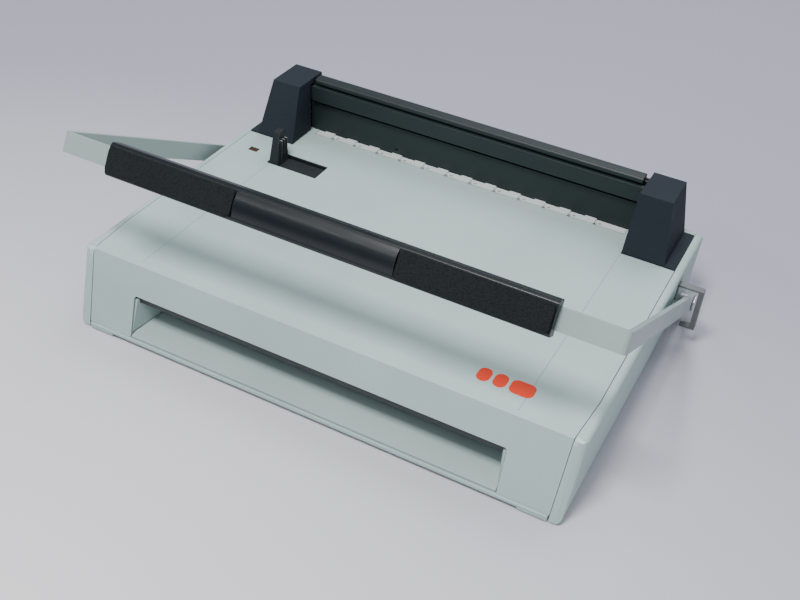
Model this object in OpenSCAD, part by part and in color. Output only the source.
// Desktop strip binder: a lever punch in front, a motor-driven binding press behind.
// Millimetres, +Z up, +Y to the back, origin on the table under the middle of the machine.

/* [Body] */
// Height of the deck above the table
deck_z = 72; // [68:1:76]
// Width between the two seams of the side panels
seam_w = 441; // [436:1:442]
// Overall width over the side panels
body_w = 455; // [453:1:458]
// Overall depth at the table
body_d = 330; // [326:1:334]
// Height of the rubber feet
foot_h = 6; // [5:0.5:7]
// Wall thickness of the mouldings
wall = 2.5; // [2:0.1:2.6]
// Distance the front face leans back from its foot to the crease
front_lean = 18; // [14:1:20]

/* [Paper slot] */
// Width of the paper slot
slot_w = 344; // [330:1:344]
// Height of the top edge of the slot mouth above the table
mouth_z = 44.4; // [42:0.2:46]
// Height of the sheet path above the table
sheet_z = 24.8; // [24.5:0.1:25]
// Height of the gap that the sheets slide into
sheet_gap = 2.7; // [2.5:0.1:3]

/* [Punch] */
// Pitch of the punch pins
pin_pitch = 25.4; // [25.4:0.1:25.4]
// Number of punch pins
pin_count = 12; // [10:1:12]
// Diameter of a punch pin
pin_d = 3; // [2.4:0.1:3.2]
// Distance of the punch line behind the middle of the machine (negative is in front)
punch_y = -31.5; // [-34:0.5:-30]

/* [Handle] */
// Angle of the handle arms above level at rest
arm_angle = 28.4; // [27:0.2:29]
// Half the outer width of the handle strap
strap_x = 238.2; // [238:0.1:240]
// Height of the handle strap
strap_h = 16.8; // [15:0.2:17]
// Distance from the handle pivot to the front face of the handle bar
bar_reach = 326; // [322:0.1:328]
// Height of the handle bar
bar_h = 26.6; // [24:0.2:28]
// Length of the handle bar
bar_w = 375; // [370:1:380]

/* [Press] */
// Height of the towers above the deck
tower_h = 55.4; // [53:0.2:58]
// Distance of the inner faces of the towers from the middle
tower_x = 171.4; // [171:0.1:172]
// Width of the strip channel between its end slits
channel_w = 327; // [325:1:328]

/* [Hidden] */
$fn = 48;

seam_x = seam_w / 2;
side_x = body_w / 2;
front_y = -body_d / 2;
back_y = body_d / 2;
crease_y = front_y + front_lean;
skin_z = foot_h;
skirt_z = 1.2;
nose_x = 215;
gap = 0.4;

// The front face as a line from its foot to the crease.
function face_y(z) = front_y + front_lean * (z - skin_z) / (deck_z - skin_z);
// Points of an arc from angle a to angle b.
function arc(x, y, r, a, b) = [for (k = [0:6]) [x + r * cos(a + (b - a) * k / 6), y + r * sin(a + (b - a) * k / 6)]];

deck_x = tower_x - 0.4;
deck_front_y = crease_y + 6;
deck_back_y = 119;

tower_y0 = 93.5;
tower_y1 = 156.5;
tower_top = deck_z + tower_h;
rail_y0 = 131.5;
rail_y1 = 144.5;
rail_z0 = deck_z + 50;
jaw_y0 = 129.5;
jaw_y1 = 133.7;
jaw_z0 = deck_z + 33.5;
jaw_z1 = rail_z0 - 0.8;
jaw_x = 170.8;
back_panel_y = 134.4;
ledge_z = deck_z + 29;
channel_y0 = 124.5;
channel_y1 = 134;
channel_x = channel_w / 2;

pocket_x0 = -174;
pocket_x1 = -119.5;
pocket_y0 = 51.2;
pocket_y1 = 75.7;
pocket_deep = 2.4;
guide_t = 10;
guide_tip = 6.4;

pivot_y = 133.5;
pivot_z = deck_z - 54.3;
stud_r = 6;
fit = 0.05;
strap_t = 4;
strap_r = 4.2;
strap_reach = bar_reach - 10.3;
bar_round = 20.2;
bar_depth = 15;
grip_x = 68;

stirrup_y0 = 89.5;
stirrup_y1 = 101.5;
stirrup_z1 = deck_z - 11;
stirrup_z0 = deck_z - 53;
stirrup_x = 250;
plate_x = 206;
plate_t = 3;
beam_z0 = stirrup_z1 - 9;
beam_x = 200;
beam_pin_z = beam_z0 + 4.5;
press_y = (stirrup_y0 + stirrup_y1) / 2;
drive_pin_r = 3;
drive_pin_z = pivot_z + (pivot_y - press_y) * tan(arm_angle);
slot_near = pivot_y - press_y - 4.6;
slot_far = (pivot_y - press_y) / cos(arm_angle) + 4.6;

rocker_y = punch_y - 45;
rocker_z = 50;
rocker_x = 184;
rocker_t = 5;
bar_top = 45.4;
bar_bot = 35.4;
die_t = 3.8;
stripper_t = 3;
pin_tip = sheet_z + sheet_gap + 0.3;
first_pin = -(pin_count - 1) * pin_pitch / 2;

rack_x = 178;
rack_w = 6;
rack_pitch_y = 140.5;
gear_m = 1.5;
gear_n = 12;
gear_r = gear_m * gear_n / 2;
lift_y = rack_pitch_y + gear_r;
lift_z = 48;
rack_bottom = 40;
motor_y = 122;
motor_z = 30;
lift_r = 4;
pinion_w = 8;

tray_z0 = 9.4;
tray_z1 = 18.6;
tray_y0 = -50;
tray_y1 = -14;
tray_x1 = 165;
inlet_x = -136;
switch_x = -100;

// A box from one corner to the other.
module block(a, b) {
    translate(a) cube([b[0] - a[0], b[1] - a[1], b[2] - a[2]]);
}

// Repeats a child on both sides of the machine.
module both_sides() {
    for (side = [-1, 1]) on_side(side) children();
}

// Mirrors a child across the middle when side is -1.
module on_side(side) {
    mirror([side < 0 ? 1 : 0, 0, 0]) children();
}

// A pin along X from x0 to x1.
module pin_x(x0, x1, y, z, r) {
    translate([x0, y, z]) rotate([0, 90, 0]) cylinder(h = x1 - x0, r = r);
}

// A plate in the YZ plane, drawn as [y, z] and reaching from x0 to x1.
module plate_x(x0, x1) {
    translate([x0, 0, 0]) rotate([90, 0, 90]) linear_extrude(height = x1 - x0) children();
}

// A bar along Y, drawn as [x, z] and reaching from y0 to y1.
module bar_y(y0, y1) {
    translate([0, y1, 0]) rotate([90, 0, 0]) linear_extrude(height = y1 - y0) children();
}

// A rectangle with four round corners, made of exact arcs.
module round_rect(a, b, r) {
    translate([a[0] + r, a[1]]) square([b[0] - a[0] - 2 * r, b[1] - a[1]]);
    translate([a[0], a[1] + r]) square([b[0] - a[0], b[1] - a[1] - 2 * r]);
    for (x = [a[0] + r, b[0] - r]) for (y = [a[1] + r, b[1] - r]) translate([x, y]) circle(r);
}

// Side view of the body: [y, z] points of the leaning front and the level deck, set in by i.
module body_side(i, back) {
    polygon([[face_y(skin_z) + i, skin_z - 1], [face_y(deck_z - i) + i, deck_z - i],
        [back, deck_z - i], [back, skin_z - 1]]);
}

// Plan of everything outside the side seams, moved out by o: the seams close in towards the nose.
module seam_plan(o) {
    polygon([[seam_x + o, back_y + 9], [seam_x + o, -100], [217.3 + o, crease_y], [nose_x + o, front_y - 3],
        [260, front_y - 3], [260, back_y + 9]]);
}

// The handle's own frame: the pivot is its origin and the arms run along -Y.
module on_arm() {
    translate([0, pivot_y, pivot_z]) rotate([-arm_angle, 0, 0]) children();
}

// Moulded base tub: the floor of the machine and the sill under the front face.
module base_pan() {
    x = nose_x - 3.3;
    sill_x = nose_x - 0.8;
    sill_y = front_y - 2;
    color([0.70, 0.75, 0.74]) difference() {
        union() {
            block([-x, front_y + 4, skin_z], [x, back_y - 3.4, skin_z + wall]);
            block([-seam_x + 0.2, -99, skin_z], [seam_x - 0.2, back_y - 3.4, skin_z + wall]);
            both_sides() block([x - 2, front_y + 14, skin_z], [x, pivot_y - 10, skin_z + 7]);
            translate([0, 0, skirt_z]) linear_extrude(height = skin_z - 0.4 - skirt_z) polygon([[-sill_x, sill_y + 9],
                [-sill_x, sill_y + 0.5], [-sill_x + 2, sill_y], [sill_x - 2, sill_y],
                [sill_x, sill_y + 0.5], [sill_x, sill_y + 9]]);
            block([-x, front_y + 4, skin_z - 1], [x, sill_y + 9, skin_z + 1]);
        }
        block([-slot_w / 2, front_y - 5, skin_z - 0.4], [slot_w / 2, front_y + 13, 20]);
        block([-sill_x + 24, front_y - 5, 0], [sill_x - 24, front_y + 13, skirt_z + 2.2]);
        for (x = [-190, 190]) for (y = [-140, 140]) translate([x, y, 0]) cylinder(h = 20, r = 3);
        for (i = [-4:4]) block([i * 14 - 3, 60, 0], [i * 14 + 3, 86, 20]);
        block([-seam_x - 1, tray_y0 - 0.6, skin_z + wall - 0.2], [-200, tray_y1 + 0.6, 30]);
    }
}

// Front face and both shoulders of the deck in one moulding.
module body_cover() {
    color([0.70, 0.75, 0.74]) difference() {
        plate_x(-seam_x + 0.2, seam_x - 0.2) body_side(0, back_y - 2.9);
        plate_x(-nose_x + 3, nose_x - 3) body_side(wall, back_y + 5);
        both_sides() block([nose_x - 4, deck_front_y, skin_z - 2], [seam_x + 1, 400, deck_z - wall]);
        both_sides() linear_extrude(height = deck_z + 9) seam_plan(-0.3);
        block([-seam_x - 1, front_y - 5, 0], [seam_x + 1, deck_front_y + 1, skin_z]);
        block([-deck_x - 0.05, deck_front_y, 50], [deck_x + 0.05, 400, 90]);
        bar_y(front_y - 5, crease_y) round_rect([-slot_w / 2, -20], [slot_w / 2, mouth_z], 3);
        both_sides() block([tower_x + 4, tower_y0 + 6, 60], [seam_x - 8, tower_y1 - 4, 90]);
        translate([-197.7, 65.2, 0]) block([-4.9, -3.5, 60], [4.9, 3.5, 90]);
        block([pocket_x0, pocket_y0, 60], [pocket_x1, pocket_y1, 90]);
    }
}

// The deck between the two fine seams, where the sheets are laid for binding.
module centre_deck() {
    color([0.70, 0.75, 0.74]) difference() {
        union() {
            block([-deck_x + 0.15, deck_front_y + 0.05, deck_z - wall], [deck_x - 0.15, channel_y1, deck_z]);
            both_sides() block([deck_x - 2, deck_front_y + 4, deck_z - 8], [deck_x, 111, deck_z - 1]);
        }
        block([pocket_x0, pocket_y0, 0], [pocket_x1, pocket_y1, 100]);
        block([-channel_x - 0.3, deck_back_y + 5, 0], [channel_x + 0.3, channel_y1 + 9, 100]);
    }
}

module side_panel(side) {
    color([0.72, 0.77, 0.76]) on_side(side) difference() {
        intersection() {
            plate_x(nose_x - 5, side_x) side_outline(0);
            bar_y(front_y - 1, back_y + 1) side_section(0);
            linear_extrude(height = deck_z + 9) seam_plan(0.3);
        }
        intersection() {
            plate_x(seam_x, side_x) side_outline(wall);
            bar_y(front_y - 1, back_y + 1) side_section(wall);
        }
        translate([0, front_y, skin_z]) rotate([-atan(front_lean / (deck_z - skin_z)), 0, 0])
            translate([0, 0, -20]) linear_extrude(height = 110) polygon(concat([[side_x + 2, -6], [side_x - 6, -6]],
                arc(side_x - 6, 6, 6, -90, 0), [[side_x + 2, 6]]));
        plate_x(nose_x - 6, side_x + 1) stirrup_window(side);
        pin_x(nose_x - 6, side_x + 1, pivot_y, pivot_z, stud_r + 1.5);
        if (side < 0) block([seam_x - 1, tray_y0 - 0.5, skin_z + 2], [side_x + 1, tray_y1 + 0.5, tray_z1 + 0.6]);
    }
}

// Side view of a side panel, a little behind the front face and round at its upper corners.
module side_outline(i) {
    r = 7;
    polygon(concat([[front_y - 1.6 + i, skirt_z - 2 * i]], arc(crease_y - 2 + r, deck_z - r, r - i, 180, 90),
        arc(back_y - r, deck_z - r, r - i, 90, 0), [[back_y - i, skirt_z - 2 * i]]));
}

// Cross-section of a side panel: a little draft, a round foot and a rounded upper outer edge.
module side_section(i) {
    r = 4.5;
    draft = 2.5;
    foot = 6;
    toe = i > 0 ? [[side_x - draft - i, -9]] : arc(side_x - draft - foot, skirt_z + foot, foot, -90, 0);
    polygon(concat([[nose_x - 5, i > 0 ? -9 : skirt_z]], toe,
        arc(side_x - r, deck_z - r, r - i, 0, 90), [[nose_x - 5, deck_z - i]]));
}

// Window that a stirrup, or the drive pin on the left, travels down in.
module stirrup_window(side) {
    low = side < 0 ? 20 : 0;
    translate([stirrup_y0 - 2, stirrup_z1 - 24 - low]) square([stirrup_y1 - stirrup_y0 + 4, 27]);
}

module rear_cover() {
    color([0.70, 0.75, 0.74]) difference() {
        union() {
            block([-seam_x + 0.2, back_y - wall, skin_z + 0.3], [seam_x - 0.2, back_y, deck_z]);
            block([-deck_x, channel_y1 + 7.5, deck_z - wall], [deck_x, back_y, deck_z]);
        }
        block([inlet_x - 14, back_y - 10, 20], [inlet_x + 14, back_y + 5, 40]);
        block([switch_x - 7.5, back_y - 10, 24], [switch_x + 7.5, back_y + 5, 36]);
        for (i = [0:5]) block([40 + i * 9, back_y - 10, 24], [44 + i * 9, back_y + 5, 50]);
    }
}

// A hollow tower over one end of the press: its front slopes back and its outer side slopes in.
module tower(side) {
    color([0.19, 0.22, 0.26]) on_side(side) difference() {
        union() {
            tower_body(0);
            block([tower_x, tower_y0, deck_z + 0.05], [seam_x - 0.3, tower_y1, deck_z + 1.6]);
        }
        tower_body(wall);
        block([tower_x + 4, tower_y0 + 6, deck_z - 2], [204, tower_y1 - 6, deck_z + 4]);
        block([tower_x - 1, jaw_y0 - 1, deck_z - 1], [tower_x + 4, jaw_y1 + 1, jaw_z1 + 1]);
    }
}

// The tower's tapering block, set in by i.
module tower_body(i) {
    hull() {
        block([tower_x + i, tower_y0 + 0.3 + i, deck_z + 1 - i], [211 - i, tower_y1 - i, deck_z + 1.5]);
        block([tower_x + 1.3 + i, 109 + i, tower_top - 1 - i], [202.6 - i, 150.5 - i, tower_top - i]);
    }
}

module top_rail() {
    r = 3;
    color([0.17, 0.22, 0.23]) union() {
        bar_x_round(-tower_x + 3, tower_x - 3, rail_y0, rail_y1, rail_z0, deck_z + 56.6, r);
        block([-tower_x, 138.2, rail_z0 - 8], [tower_x, 141.2, rail_z0 + 1]);
    }
}

// A bar along X whose long edges are round.
module bar_x_round(x0, x1, y0, y1, z0, z1, r) {
    plate_x(x0, x1) round_rect([y0, z0], [y1, z1], r);
}

module back_panel() {
    color([0.16, 0.21, 0.22]) difference() {
        union() {
            block([-tower_x + 0.4, back_panel_y, deck_z - 8], [tower_x - 0.4, back_panel_y + 3, ledge_z]);
            block([-tower_x + 0.4, back_panel_y, ledge_z - wall], [tower_x - 0.4, 148, ledge_z]);
            block([-tower_x + 0.4, 145.5, deck_z + 0.3], [tower_x - 0.4, 148, deck_z + 49.5]);
        }
        translate([-139.7 + 25.4 * 2.5, back_panel_y - 1, deck_z + 5]) rotate([-90, 0, 0]) cylinder(h = 6, r = 1.4);
    }
}

// The notched bar that a binding strip lies in: a raised tab, a notch and a pin hole at each pitch.
module strip_channel() {
    color([0.80, 0.84, 0.83]) difference() {
        union() {
            block([-channel_x, channel_y0 + 1.5, deck_z - 8], [channel_x, channel_y1, deck_z - 0.3]);
            for (i = [0:pin_count - 1]) translate([first_pin + i * pin_pitch - 16.5, 0, 0])
                block([0, channel_y0 + 0.3, deck_z - 4], [11, channel_y1, deck_z + 0.9]);
        }
        for (i = [0:pin_count - 1]) translate([first_pin + i * pin_pitch, channel_y0 + 4.4, 0])
            cylinder(h = 100, r = 1.7);
        for (i = [0:pin_count - 1]) translate([first_pin + i * pin_pitch - 4.2, channel_y0, deck_z - 9])
            linear_extrude(height = 12) polygon([[-2.4, -1], [2.4, -1], [0.5, 4.4], [-0.5, 4.4]]);
    }
}

module guide_pocket() {
    color([0.08, 0.09, 0.10]) difference() {
        block([pocket_x0 + 0.1, pocket_y0 + 0.1, deck_z - pocket_deep - 1.5],
            [pocket_x1 - 0.1, pocket_y1 - 0.1, deck_z - 0.2]);
        block([pocket_x0 + 1.2, pocket_y0 + 1.2, deck_z - pocket_deep],
            [pocket_x1 - 1.2, pocket_y1 - 1.2, deck_z + 1]);
        block([pocket_x0 + 2.2, pocket_y1 - 2.8, 0], [pocket_x1 - 2.5, pocket_y1 - 1.2, 100]);
    }
}

module indicator_lens() {
    color([0.45, 0.20, 0.05]) union() {
        translate([-197.7, 65.2, 0]) block([-4.8, -3.4, deck_z - 5], [4.8, 3.4, deck_z - 0.2]);
        translate([-197.7, 65.2, 0]) block([-6.5, -5, deck_z - 5], [6.5, 5, deck_z - wall - 0.1]);
    }
}

// Ramp that leads the sheets in, then the level table in front of the die.
module slot_tray() {
    x = slot_w / 2 - 0.8;
    color([0.68, 0.73, 0.72]) plate_x(-x, x) polygon([[front_y + 0.6, 6.2], [front_y + 0.9, 8.2],
        [front_y + 62, sheet_z - 0.3], [punch_y - 9, sheet_z - 0.3], [punch_y - 9, sheet_z - 2.3],
        [front_y + 63, sheet_z - 2.6], [front_y + 12, 9.4], [front_y + 3, 6.2]]);
}

// Dark roof of the paper slot: a strip along the mouth and a slope down to the sheet gap.
module throat_lip() {
    x = slot_w / 2 - 0.8;
    color([0.22, 0.25, 0.27]) union() {
        plate_x(-x, x) polygon([[face_y(mouth_z) + 3.2, mouth_z - 8], [face_y(mouth_z) + 3.2, mouth_z + 1],
            [face_y(mouth_z) + 5.4, mouth_z + 1], [face_y(mouth_z) + 5.4, mouth_z - 6.4],
            [punch_y - 14, sheet_z + sheet_gap + 2.2], [punch_y - 14, sheet_z + sheet_gap + 0.2]]);
    }
}

// Splayed cheeks at the two ends of the slot mouth.
module slot_cheeks() {
    x = slot_w / 2 - 0.4;
    y = front_y + 3;
    lip_y = face_y(mouth_z) + 2.8;
    color([0.68, 0.73, 0.72]) both_sides() intersection() {
        linear_extrude(height = mouth_z) polygon([[x, y], [x, y + 59], [x - 20, y + 59], [x - 18, y + 53]]);
        plate_x(x - 40, x) polygon([[front_y + 2.5, 9.8], [front_y + 62, sheet_z], [front_y + 64, sheet_z],
            [front_y + 64, 31.8], [lip_y, mouth_z - 8.4], [lip_y, mouth_z - 3.2],
            [face_y(mouth_z) + 0.6, mouth_z - 3.2]]);
    }
}

module pin_holes(z, h, r) {
    for (i = [0:pin_count - 1]) translate([first_pin + i * pin_pitch, punch_y, z]) cylinder(h = h, r = r);
}

module die_plate() {
    color([0.62, 0.64, 0.66]) difference() {
        union() {
            block([-plate_x, punch_y - 8, sheet_z - die_t], [plate_x, punch_y + 12, sheet_z]);
            block([-180, punch_y + 6, sheet_z - 1], [180, punch_y + 12, sheet_z + sheet_gap]);
        }
        pin_holes(0, 60, pin_d / 2 + 0.05);
    }
}

module stripper_plate() {
    z = sheet_z + sheet_gap;
    color([0.58, 0.60, 0.62]) difference() {
        block([-plate_x, punch_y - 12, z], [plate_x, punch_y + 12, z + stripper_t]);
        pin_holes(0, 60, pin_d / 2 + 0.05);
    }
}

// Steel side plate that carries the pivots, the die and the stirrup's slot.
module frame_plate(side) {
    color([0.55, 0.57, 0.58]) on_side(side) difference() {
        union() {
            block([plate_x, rocker_y - 14, skin_z + wall], [plate_x + plate_t, 150, 66]);
            block([plate_x - 10, 40, skin_z + wall], [plate_x + 1, 80, skin_z + wall + 3]);
        }
        plate_x(plate_x - 1, plate_x + plate_t + 1) stirrup_window(side);
        pin_x(plate_x - 1, plate_x + 9, pivot_y, pivot_z, stud_r);
        block([plate_x - 20, tray_y0 - 0.6, 0], [plate_x + 9, tray_y1 + 0.6, tray_z1 + 0.6]);
    }
}

// Shoulder studs: the pair that the arms turn on and the pair that the rockers turn on.
module pivot_studs() {
    color([0.72, 0.73, 0.74]) union() {
        both_sides() {
            pin_x(plate_x, strap_x + 1.4, pivot_y, pivot_z, stud_r);
            pin_x(strap_x + 0.4, strap_x + 2.4, pivot_y, pivot_z, 7.5);
            pin_x(plate_x + plate_t, strap_x - strap_t - 0.4, pivot_y, pivot_z, 7.2);
            pin_x(rocker_x - rocker_t - 2, plate_x, rocker_y, rocker_z, 4);
        }
        pin_x(-stirrup_x, -strap_x - 1, pivot_y, pivot_z, 5);
    }
}

module rack_guides() {
    color([0.85, 0.85, 0.80]) both_sides() difference() {
        block([rack_x - 4, rack_pitch_y - 15, skin_z + wall], [rack_x + rack_w + 4, rack_pitch_y - 3, 62]);
        block([rack_x - 0.35, rack_pitch_y - 9.35, 0], [rack_x + rack_w + 0.35, rack_pitch_y + 9, 90]);
    }
}

module press_motor() {
    color([0.45, 0.46, 0.48]) union() {
        pin_x(20, 74, motor_y, motor_z, 11);
        pin_x(73, 78, motor_y, motor_z, 4);
    }
}

module gearbox() {
    color([0.15, 0.15, 0.16]) difference() {
        union() {
            block([-20, lift_y - 10, lift_z - 14], [20, lift_y + 12, lift_z + 13]);
            block([-20, motor_y - 13, motor_z - 13], [20, lift_y - 8, motor_z + 13]);
            block([-14, motor_y - 8, skin_z + wall], [14, lift_y + 8, motor_z + 5]);
        }
        pin_x(-30, 30, lift_y, lift_z, lift_r + fit);
    }
}

// Pillow blocks near the ends of the lift shaft.
module lift_bearings() {
    color([0.75, 0.62, 0.32]) both_sides() difference() {
        union() {
            block([160, lift_y - 7, skin_z + wall], [168, lift_y + 7, lift_z]);
            pin_x(160, 168, lift_y, lift_z, 7);
        }
        pin_x(150, 180, lift_y, lift_z, lift_r + fit);
    }
}

module control_board() {
    color([0.10, 0.35, 0.18]) union() {
        block([40, 30, 16], [150, 84, 17.6]);
        for (x = [46, 144]) for (y = [36, 78]) translate([x, y, skin_z + wall]) cylinder(h = 8, r = 3);
        for (i = [0:3]) translate([60 + i * 18, 46, 17.5]) cylinder(h = 12, r = 6);
        block([60, 60, 17.5], [84, 78, 24]);
        block([96, 62, 17.5], [130, 76, 33]);
    }
}

module transformer() {
    color([0.35, 0.33, 0.32]) union() {
        block([-150, 26, skin_z + wall], [-96, 82, 12]);
        block([-146, 34, 11], [-100, 74, 46]);
        block([-138, 28, 17], [-108, 80, 41]);
    }
}

module power_inlet() {
    color([0.07, 0.07, 0.08]) difference() {
        union() {
            block([inlet_x - 13.8, back_y - 20, 20.2], [inlet_x + 13.8, back_y - 0.4, 39.8]);
            block([inlet_x - 17, back_y - wall - 3, 18], [inlet_x + 17, back_y - wall - 0.2, 42]);
        }
        block([inlet_x - 11.8, back_y - 17, 22.2], [inlet_x + 11.8, back_y + 5, 37.8]);
    }
}

module feet() {
    color([0.08, 0.08, 0.08]) for (x = [-190, 190]) for (y = [-140, 140]) translate([x, y, 0]) {
        cylinder(h = foot_h, r = 11);
        cylinder(h = skin_z + wall + 3, r = 2.9);
    }
}

module cover_screws() {
    color([0.6, 0.6, 0.62]) for (x = [-180, -60, 60, 180]) for (y = [-120, 152])
        translate([x, y, skin_z - 1.8]) {
            cylinder(h = 1.8, r = 3.4);
        }
}

module spring_posts() {
    color([0.6, 0.6, 0.62]) both_sides() translate([150, press_y, skin_z + wall]) {
        cylinder(h = 2.5, r = 10);
        cylinder(h = 22, r = 4);
    }
}

module blade_rails() {
    color([0.5, 0.5, 0.52]) both_sides() difference() {
        block([channel_x + 4, 112, deck_z - 22], [channel_x + 9, 133, deck_z - wall - 0.1]);
        block([channel_x + 3, 112.6, deck_z - 17.4], [channel_x + 10, 132.4, deck_z - 12.6]);
    }
}

// One steel strap bent into a U: two arms and the member behind the bar.
module handle_strap() {
    color([0.74, 0.77, 0.75]) on_arm() difference() {
        intersection() {
            translate([0, 0, -20]) linear_extrude(height = 40) difference() {
                strap_outline(strap_x, strap_reach, strap_r);
                strap_outline(strap_x - strap_t, strap_reach - strap_t, strap_r - strap_t);
            }
            plate_x(-300, 300) union() {
                translate([-400, -strap_h / 2]) square([400, strap_h]);
                circle(strap_h / 2);
            }
        }
        pin_x(-300, 300, 0, 0, stud_r + fit);
        plate_x(-300, -strap_x + strap_t + 2) round_rect([-slot_far, -drive_pin_r - 1], [-slot_near, drive_pin_r + 1], 3.9);
    }
}

// Plan of the strap: open at the back, round at the two front corners.
module strap_outline(x, reach, r) {
    translate([-x, -reach + r]) square([2 * x, reach - r + 40]);
    translate([-x + r, -reach]) square([2 * (x - r), reach]);
    for (s = [-1, 1]) translate([s * (x - r), -reach + r]) circle(r);
}

// Moulded bar over the strap: round in the middle, flat seats for the grips at both ends.
module handle_bar() {
    color([0.13, 0.15, 0.19]) on_arm() difference() {
        plate_x(-bar_w / 2, bar_w / 2) bar_section();
        both_sides() block([grip_x, -bar_reach - 1, -bar_h], [bar_w, -bar_reach + 3, bar_h]);
        plate_x(-bar_w, bar_w) translate([-strap_reach, -strap_h / 2])
            square([strap_t + 0.02, strap_h]);
    }
}

// Cross-section of the bar in the handle's frame: a bulging front and a flat back.
module bar_section() {
    half = asin(bar_h / 2 / bar_round);
    mid = -bar_reach + bar_round;
    polygon(concat([[-bar_reach + bar_depth, bar_h / 2]], arc(mid, 0, bar_round, 180 - half, 180),
        arc(mid, 0, bar_round, 181, 180 + half), [[-bar_reach + bar_depth, -bar_h / 2]]));
}

// Flat pad on its seat, a little lower than the bar.
module grip(side) {
    color([0.10, 0.11, 0.13]) on_arm() on_side(side) translate([0, -bar_reach + 3, 0]) rotate([90, 0, 0])
        linear_extrude(height = 2.6) round_rect([grip_x + 1.2, -bar_h / 2 + 1.6], [bar_w / 2 - 1.2, bar_h / 2 - 2.4], 5);
}

// Stirrup that the right arm presses down: a lug inside, a roof over the arm and a foot under it.
module stirrup_right() {
    t = 4.5;
    color([0.45, 0.48, 0.50]) bar_y(press_y - 3.6, press_y + 3.6) polygon([
        [beam_x, stirrup_z1 - 9], [beam_x + 3, stirrup_z1 - 9], [beam_x + 3, stirrup_z1 - 2],
        [stirrup_x - t, stirrup_z1 - 2], [stirrup_x - t, stirrup_z0 + 2.4], [strap_x - 2, stirrup_z0 + 0.5],
        [strap_x - 2, stirrup_z0], [stirrup_x, stirrup_z0], [stirrup_x, stirrup_z1],
        [beam_x, stirrup_z1]]);
}

// Lug on the left end of the crossbar, with the pin that runs in the slot of the left arm.
module drive_pin_left() {
    color([0.45, 0.48, 0.50]) union() {
        block([-beam_x - 3, stirrup_y0, drive_pin_z - 6], [-beam_x, stirrup_y1, stirrup_z1]);
        pin_x(-strap_x - 2.4, -beam_x - 1, press_y, drive_pin_z, drive_pin_r);
    }
}

module drive_crossbar() {
    color([0.52, 0.54, 0.56]) union() {
        difference() {
            block([-beam_x, stirrup_y0, beam_z0], [beam_x, stirrup_y1, stirrup_z1]);
            block([-beam_x + 20, stirrup_y0 + 2.5, beam_z0 + 3], [beam_x - 20, stirrup_y1 - 2.5, stirrup_z1 + 1]);
            both_sides() block([rocker_x - rocker_t - 0.8, stirrup_y0 - 1, beam_z0 - 1],
                [rocker_x + 0.8, press_y + 5, stirrup_z1 + 1]);
        }
        both_sides() pin_x(rocker_x - rocker_t - 1, rocker_x + 1, press_y, beam_pin_z, 2);
    }
}

// Rocker: turns on a front stud, works the punch bar close by and is drawn down at its far end.
module rocker(side) {
    tail_z = beam_pin_z;
    color([0.60, 0.58, 0.50]) on_side(side) difference() {
        union() {
            plate_x(rocker_x - rocker_t, rocker_x) polygon([[rocker_y, rocker_z - 7], [rocker_y, rocker_z + 7],
                [punch_y, rocker_z + 9], [press_y + 4, tail_z + 5], [press_y + 4, tail_z - 5],
                [punch_y, rocker_z - 5]]);
            pin_x(rocker_x - rocker_t, rocker_x, rocker_y, rocker_z, 7);
            pin_x(rocker_x - rocker_t - 7, rocker_x - rocker_t + 1, punch_y, rocker_z + 2.1, 3);
        }
        pin_x(rocker_x - 20, rocker_x + 9, rocker_y, rocker_z, 4 + fit);
        plate_x(rocker_x - 20, rocker_x + 9) round_rect([press_y - 3.4, tail_z - 2.5], [press_y + 12, tail_z + 2.5], 2.4);
    }
}

module punch_bar() {
    color([0.50, 0.52, 0.54]) difference() {
        union() {
            block([-176, punch_y - 5, bar_bot], [176, punch_y + 5, bar_top]);
            both_sides() block([172.6, punch_y - 7, bar_bot], [176, punch_y + 7, rocker_z + 8]);
        }
        both_sides() plate_x(171, 178) round_rect([punch_y - 4.2, rocker_z - 1.4], [punch_y + 4.2, rocker_z + 5.6], 3.4);
    }
}

module punch_pins() {
    color([0.78, 0.79, 0.80]) for (i = [0:pin_count - 1])
        translate([first_pin + i * pin_pitch, punch_y, pin_tip]) cylinder(h = bar_bot - pin_tip, r = pin_d / 2);
}

// Open coils as a stack of rings joined by a thin core tube, one under each end of the crossbar.
module return_springs() {
    z0 = skin_z + wall + 2.6;
    turns = 9;
    rise = (beam_z0 - 0.3 - z0 - 2) / (turns - 1);
    color([0.7, 0.7, 0.72]) both_sides() translate([150, press_y, z0 + 1]) {
        for (i = [0:turns - 1]) translate([0, 0, i * rise]) rotate_extrude() translate([7, 0]) circle(1, $fn = 16);
        for (i = [0:turns - 2]) rotate([0, 0, i * 180]) translate([7, 0, i * rise]) cylinder(h = rise, r = 0.8, $fn = 16);
    }
}

module press_jaw() {
    color([0.17, 0.22, 0.23]) union() {
        block([-jaw_x, jaw_y0, jaw_z0], [jaw_x, jaw_y1, jaw_z1]);
        both_sides() block([jaw_x - 1, jaw_y0 + 1.2, jaw_z0 + 2], [rack_x, jaw_y1, jaw_z1 - 2]);
    }
}

// Rack: a tall bar with teeth on its back, hooked to the end of the jaw.
module rack(side) {
    y0 = rack_pitch_y - 9;
    root = rack_pitch_y - 1.2 * gear_m;
    color([0.80, 0.78, 0.70]) on_side(side) union() {
        block([rack_x, y0, rack_bottom], [rack_x + rack_w, root, jaw_z1 - 3]);
        for (i = [-1:8]) translate([0, 0, lift_z + i * PI * gear_m]) rack_tooth();
    }
}

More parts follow.
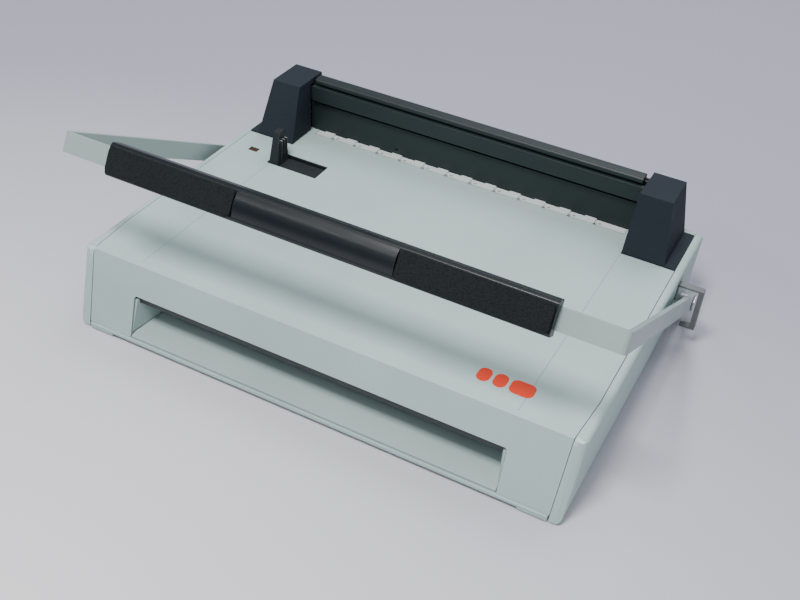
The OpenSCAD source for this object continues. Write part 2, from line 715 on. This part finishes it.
// One rack tooth, centred on z = 0, slimmed for backlash.
module rack_tooth() {
    half = PI * gear_m / 4 - 0.12;
    slope = tan(20);
    plate_x(rack_x, rack_x + rack_w) polygon([
        [rack_pitch_y - 1.3 * gear_m, -half - 1.3 * gear_m * slope],
        [rack_pitch_y + 0.8 * gear_m, -half + 0.8 * gear_m * slope],
        [rack_pitch_y + 0.8 * gear_m, half - 0.8 * gear_m * slope],
        [rack_pitch_y - 1.3 * gear_m, half + 1.3 * gear_m * slope]]);
}

module lift_shaft() {
    color([0.75, 0.76, 0.77]) union() {
        pin_x(-(rack_x + rack_w + 3), rack_x + rack_w + 3, lift_y, lift_z, lift_r);
    }
}

// Involute of a circle of radius r at unroll angle a, in degrees.
function involute(r, a) = [r * (cos(a) + a * PI / 180 * sin(a)), r * (sin(a) - a * PI / 180 * cos(a))];
// Unroll angle at which the involute of radius r reaches radius to.
function unroll(r, to) = sqrt(to * to / r / r - 1) * 180 / PI;
function turned(p, a) = [p[0] * cos(a) - p[1] * sin(a), p[0] * sin(a) + p[1] * cos(a)];

// Spur gear outline with slim teeth for backlash, a tooth gap on the -X side.
module gear_outline() {
    base = gear_r * cos(20);
    tip = gear_r + 0.85 * gear_m;
    a_pitch = unroll(base, gear_r);
    p = involute(base, a_pitch);
    half = 90 / gear_n - 0.75 + atan2(p[1], p[0]);
    circle(gear_r - 1.05 * gear_m);
    for (i = [0:gear_n - 1]) rotate([0, 0, (i + 0.5) * 360 / gear_n]) polygon(concat(
        [[gear_r * 0.5, -0.9 * gear_m * 0.5]],
        [for (k = [0:4]) turned(involute(base, unroll(base, tip) * k / 4), -half)],
        [for (k = [4:-1:0]) let(q = involute(base, unroll(base, tip) * k / 4)) turned([q[0], -q[1]], half)],
        [[gear_r * 0.5, 0.9 * gear_m * 0.5]]));
}

module lift_pinions() {
    color([0.88, 0.88, 0.84]) both_sides() translate([rack_x - 1, lift_y, lift_z])
        rotate([90, 0, 90]) linear_extrude(height = pinion_w) difference() {
            gear_outline();
            circle(lift_r + 0.02);
        }
}

// Upright fin that the sheets are pushed against, with a tongue in the slit along the pocket.
module edge_guide() {
    z = deck_z - pocket_deep + 0.3;
    x = pocket_x0 + 1.6;
    color([0.10, 0.11, 0.12]) union() {
        hull() {
            block([x, pocket_y0 + 2, z], [x + guide_t, pocket_y1 - 2.6, z + 1]);
            plate_x(x, x + guide_tip) polygon([[pocket_y0 + 9.4, deck_z + 25], [pocket_y0 + 12.5, deck_z + 29.5],
                [pocket_y1 - 5.5, deck_z + 29.5], [pocket_y1 - 4, deck_z + 27], [pocket_y1 - 4, deck_z + 25]]);
        }
        for (i = [0:2]) block([x + guide_tip - 1, pocket_y0 + 9.5 + i * 4, z + 0.4],
            [x + guide_t + 0.4, pocket_y0 + 11 + i * 4, deck_z + 22]);
        block([x + 1, pocket_y1 - 4.5, z], [x + guide_t - 1, pocket_y1 - 1.6, z + 1.2]);
        block([x + 1, pocket_y1 - 2.4, z - 5], [x + guide_t - 1, pocket_y1 - 1.6, z + 1]);
    }
}

module chip_tray() {
    color([0.25, 0.27, 0.28]) difference() {
        union() {
            block([-side_x + 0.6, tray_y0, tray_z0], [tray_x1, tray_y1, tray_z1]);
        }
        block([-side_x + 4, tray_y0 + 1.6, tray_z0 + 1.4], [tray_x1 - 1.6, tray_y1 - 1.6, tray_z1 + 1]);
        block([-side_x - 1, tray_y0 + 10, tray_z0 + 5], [-side_x + 2.4, tray_y1 - 10, tray_z1 + 1]);
    }
}

module hot_blade() {
    color([0.55, 0.40, 0.30]) union() {
        block([-channel_x - 8, 113, deck_z - 17], [channel_x + 8, 123, deck_z - 13]);
        block([-channel_x + 4, 117, deck_z - 13.2], [channel_x - 4, 124, deck_z - 11]);
    }
}

module power_switch() {
    color([0.05, 0.05, 0.05]) translate([switch_x, back_y - 3, 30]) rotate([4, 0, 0]) {
        block([-7.1, -6, -5.1], [7.1, 2.4, 5.1]);
        pin_x(-7.1, 7.1, 0, 0, 5);
    }
}

base_pan();
body_cover();
centre_deck();
side_panel(-1);  // side_panel_left
side_panel(1);  // side_panel_right
rear_cover();
tower(-1);  // tower_left
tower(1);  // tower_right
top_rail();
back_panel();
strip_channel();
guide_pocket();
indicator_lens();
slot_tray();
throat_lip();
slot_cheeks();
die_plate();
stripper_plate();
frame_plate(-1);  // frame_plate_left
frame_plate(1);  // frame_plate_right
pivot_studs();
rack_guides();
press_motor();
gearbox();
lift_bearings();
control_board();
transformer();
power_inlet();
feet();
cover_screws();
spring_posts();
blade_rails();
handle_strap();
handle_bar();
grip(-1);  // grip_left
grip(1);  // grip_right
drive_pin_left();
stirrup_right();
drive_crossbar();
rocker(-1);  // rocker_left
rocker(1);  // rocker_right
punch_bar();
punch_pins();
return_springs();
press_jaw();
rack(-1);  // rack_left
rack(1);  // rack_right
lift_shaft();
lift_pinions();
edge_guide();
chip_tray();
hot_blade();
power_switch();
